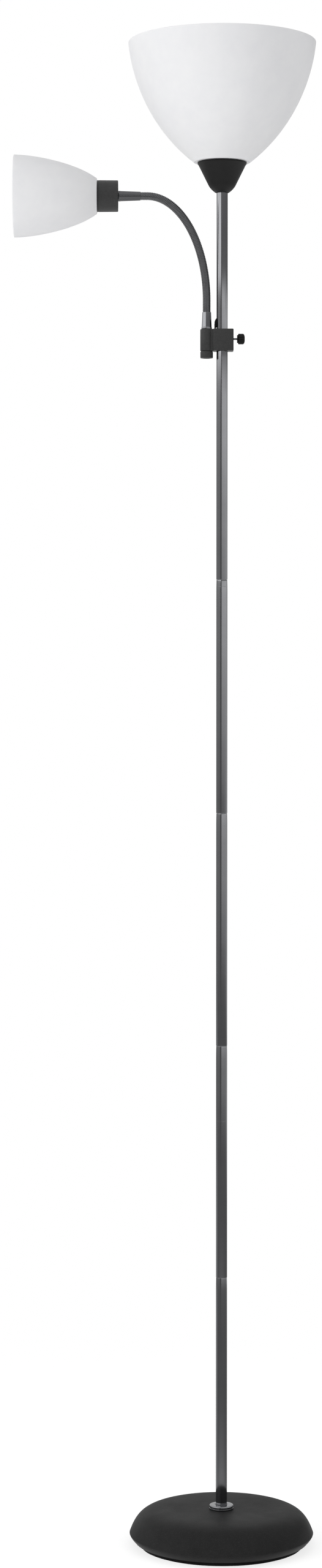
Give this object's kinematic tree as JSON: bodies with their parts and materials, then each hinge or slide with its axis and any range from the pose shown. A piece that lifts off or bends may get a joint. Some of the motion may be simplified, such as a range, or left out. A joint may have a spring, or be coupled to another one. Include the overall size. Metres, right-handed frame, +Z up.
{
  "type": "torchiere floor lamp",
  "caption": "Slim floor lamp with a domed round base, a jointed tube pole, an upward opal bowl shade and a clamped gooseneck reading light with a small opal shade.",
  "frame": {"origin": "on the floor, at the axis of the pole: the centre of the underside of the base", "axes": "+Z up along the pole; the reading light points along -X; the cord inlet is at the back of the base, towards +Y"},
  "size_m": [0.3607, 0.225, 1.8037],
  "materials": {
    "charcoal_base": "satin charcoal paint",
    "gunmetal": "glossy black-nickel plate",
    "opal_shade": "smooth opal plastic, semi-gloss",
    "black_plastic": "fine-grained matte",
    "grey_plastic": "satin moulded",
    "neck_steel": "dark wound steel",
    "zinc_steel": "zinc plated",
    "brass": "plain",
    "bulb_cap": "rolled thread",
    "bulb_globe": "frosted",
    "cement": "cast",
    "foam": "closed-cell foam",
    "rubber": "moulded",
    "cable_sheath": "smooth sheath"
  },
  "bodies": {
    "stand": {"floor_pad": "foam", "base_plate": "zinc_steel", "base_shell": "charcoal_base", "base_weight": "cement", "cord_gland": "rubber", "base_washer": "zinc_steel", "base_nut": "zinc_steel", "base_nipple": "zinc_steel", "foot_collar": "gunmetal", "pole_tube_1": "gunmetal", "pole_tube_2": "gunmetal", "pole_tube_3": "gunmetal", "pole_tube_4": "gunmetal", "pole_tube_5": "gunmetal", "pole_tube_6": "gunmetal", "pole_coupler_1": "zinc_steel", "pole_coupler_2": "zinc_steel", "pole_coupler_3": "zinc_steel", "pole_coupler_4": "zinc_steel", "pole_coupler_5": "zinc_steel", "pole_cable": "cable_sheath", "top_nipple": "zinc_steel", "shade_cup": "black_plastic", "cup_locknut": "zinc_steel", "top_lampholder": "black_plastic", "top_contact": "brass", "top_screw_shell": "brass", "top_bulb_cap": "bulb_cap", "top_bulb_globe": "bulb_globe", "top_shade": "opal_shade", "top_shade_ring": "black_plastic", "lead_bush": "rubber", "reading_lead": "cable_sheath"},
    "clamp": {"clamp_body": "grey_plastic", "clamp_nut": "grey_plastic", "lower_ferrule": "gunmetal", "neck_link_0": "neck_steel"},
    "thumbscrew": {"thumbscrew_stem": "zinc_steel", "thumbscrew_knob": "black_plastic"},
    "neck_1": {"neck_link_1": "neck_steel"},
    "neck_2": {"neck_link_2": "neck_steel"},
    "neck_3": {"neck_link_3": "neck_steel"},
    "neck_4": {"neck_link_4": "neck_steel"},
    "neck_5": {"neck_link_5": "neck_steel"},
    "neck_6": {"neck_link_6": "neck_steel"},
    "reading_light": {"neck_link_7": "neck_steel", "upper_ferrule": "gunmetal", "holder_cup": "grey_plastic", "holder_locknut": "zinc_steel", "reading_lampholder": "black_plastic", "reading_contact": "brass", "reading_screw_shell": "brass", "reading_bulb_cap": "bulb_cap", "reading_bulb_globe": "bulb_globe", "reading_shade": "opal_shade", "reading_shade_ring": "black_plastic"}
  },
  "joints": [
    {"name": "clamp_swivel", "type": "hinge", "parent": "stand", "child": "clamp", "pos_m": [0, 0, 1.4501], "axis": [0, 0, 1], "range_deg": [-40, 40]},
    {"name": "thumbscrew_turn", "type": "hinge", "parent": "clamp", "child": "thumbscrew", "pos_m": [0.02, 0, 1.4515], "axis": [1, 0, 0], "range_deg": [0, 360]},
    {"name": "neck_bend_1", "type": "hinge", "parent": "clamp", "child": "neck_1", "pos_m": [-0.0184, 0, 1.4974], "axis": [0.001, -1, 0.001], "range_deg": [-8, 18]},
    {"name": "neck_sway_1", "type": "hinge", "parent": "neck_1", "child": "neck_2", "pos_m": [-0.02082, 0, 1.52952], "axis": [0.9881, 0, 0.1535], "range_deg": [-15, 15]},
    {"name": "neck_bend_2", "type": "hinge", "parent": "neck_2", "child": "neck_3", "pos_m": [-0.02793, 0, 1.55945], "axis": [0.001, -1, 0.001], "range_deg": [-8, 18]},
    {"name": "neck_sway_2", "type": "hinge", "parent": "neck_3", "child": "neck_4", "pos_m": [-0.03923, 0, 1.58515], "axis": [0.8639, 0, 0.5036], "range_deg": [-15, 15]},
    {"name": "neck_bend_3", "type": "hinge", "parent": "neck_4", "child": "neck_5", "pos_m": [-0.05395, 0, 1.60487], "axis": [0.001, -1, 0.001], "range_deg": [-8, 18]},
    {"name": "neck_sway_3", "type": "hinge", "parent": "neck_5", "child": "neck_6", "pos_m": [-0.0711, 0, 1.61727], "axis": [0.4132, 0, 0.9107], "range_deg": [-15, 15]},
    {"name": "neck_bend_4", "type": "hinge", "parent": "neck_6", "child": "reading_light", "pos_m": [-0.0895, 0, 1.6215], "axis": [0.001, -1, 0.001], "range_deg": [-8, 18]}
  ],
  "couplings": [
    {"joint": "neck_bend_2", "follows": "neck_bend_1", "ratio": 1},
    {"joint": "neck_sway_2", "follows": "neck_sway_1", "ratio": 1},
    {"joint": "neck_bend_3", "follows": "neck_bend_1", "ratio": 1},
    {"joint": "neck_sway_3", "follows": "neck_sway_1", "ratio": 1},
    {"joint": "neck_bend_4", "follows": "neck_bend_1", "ratio": 1}
  ]
}
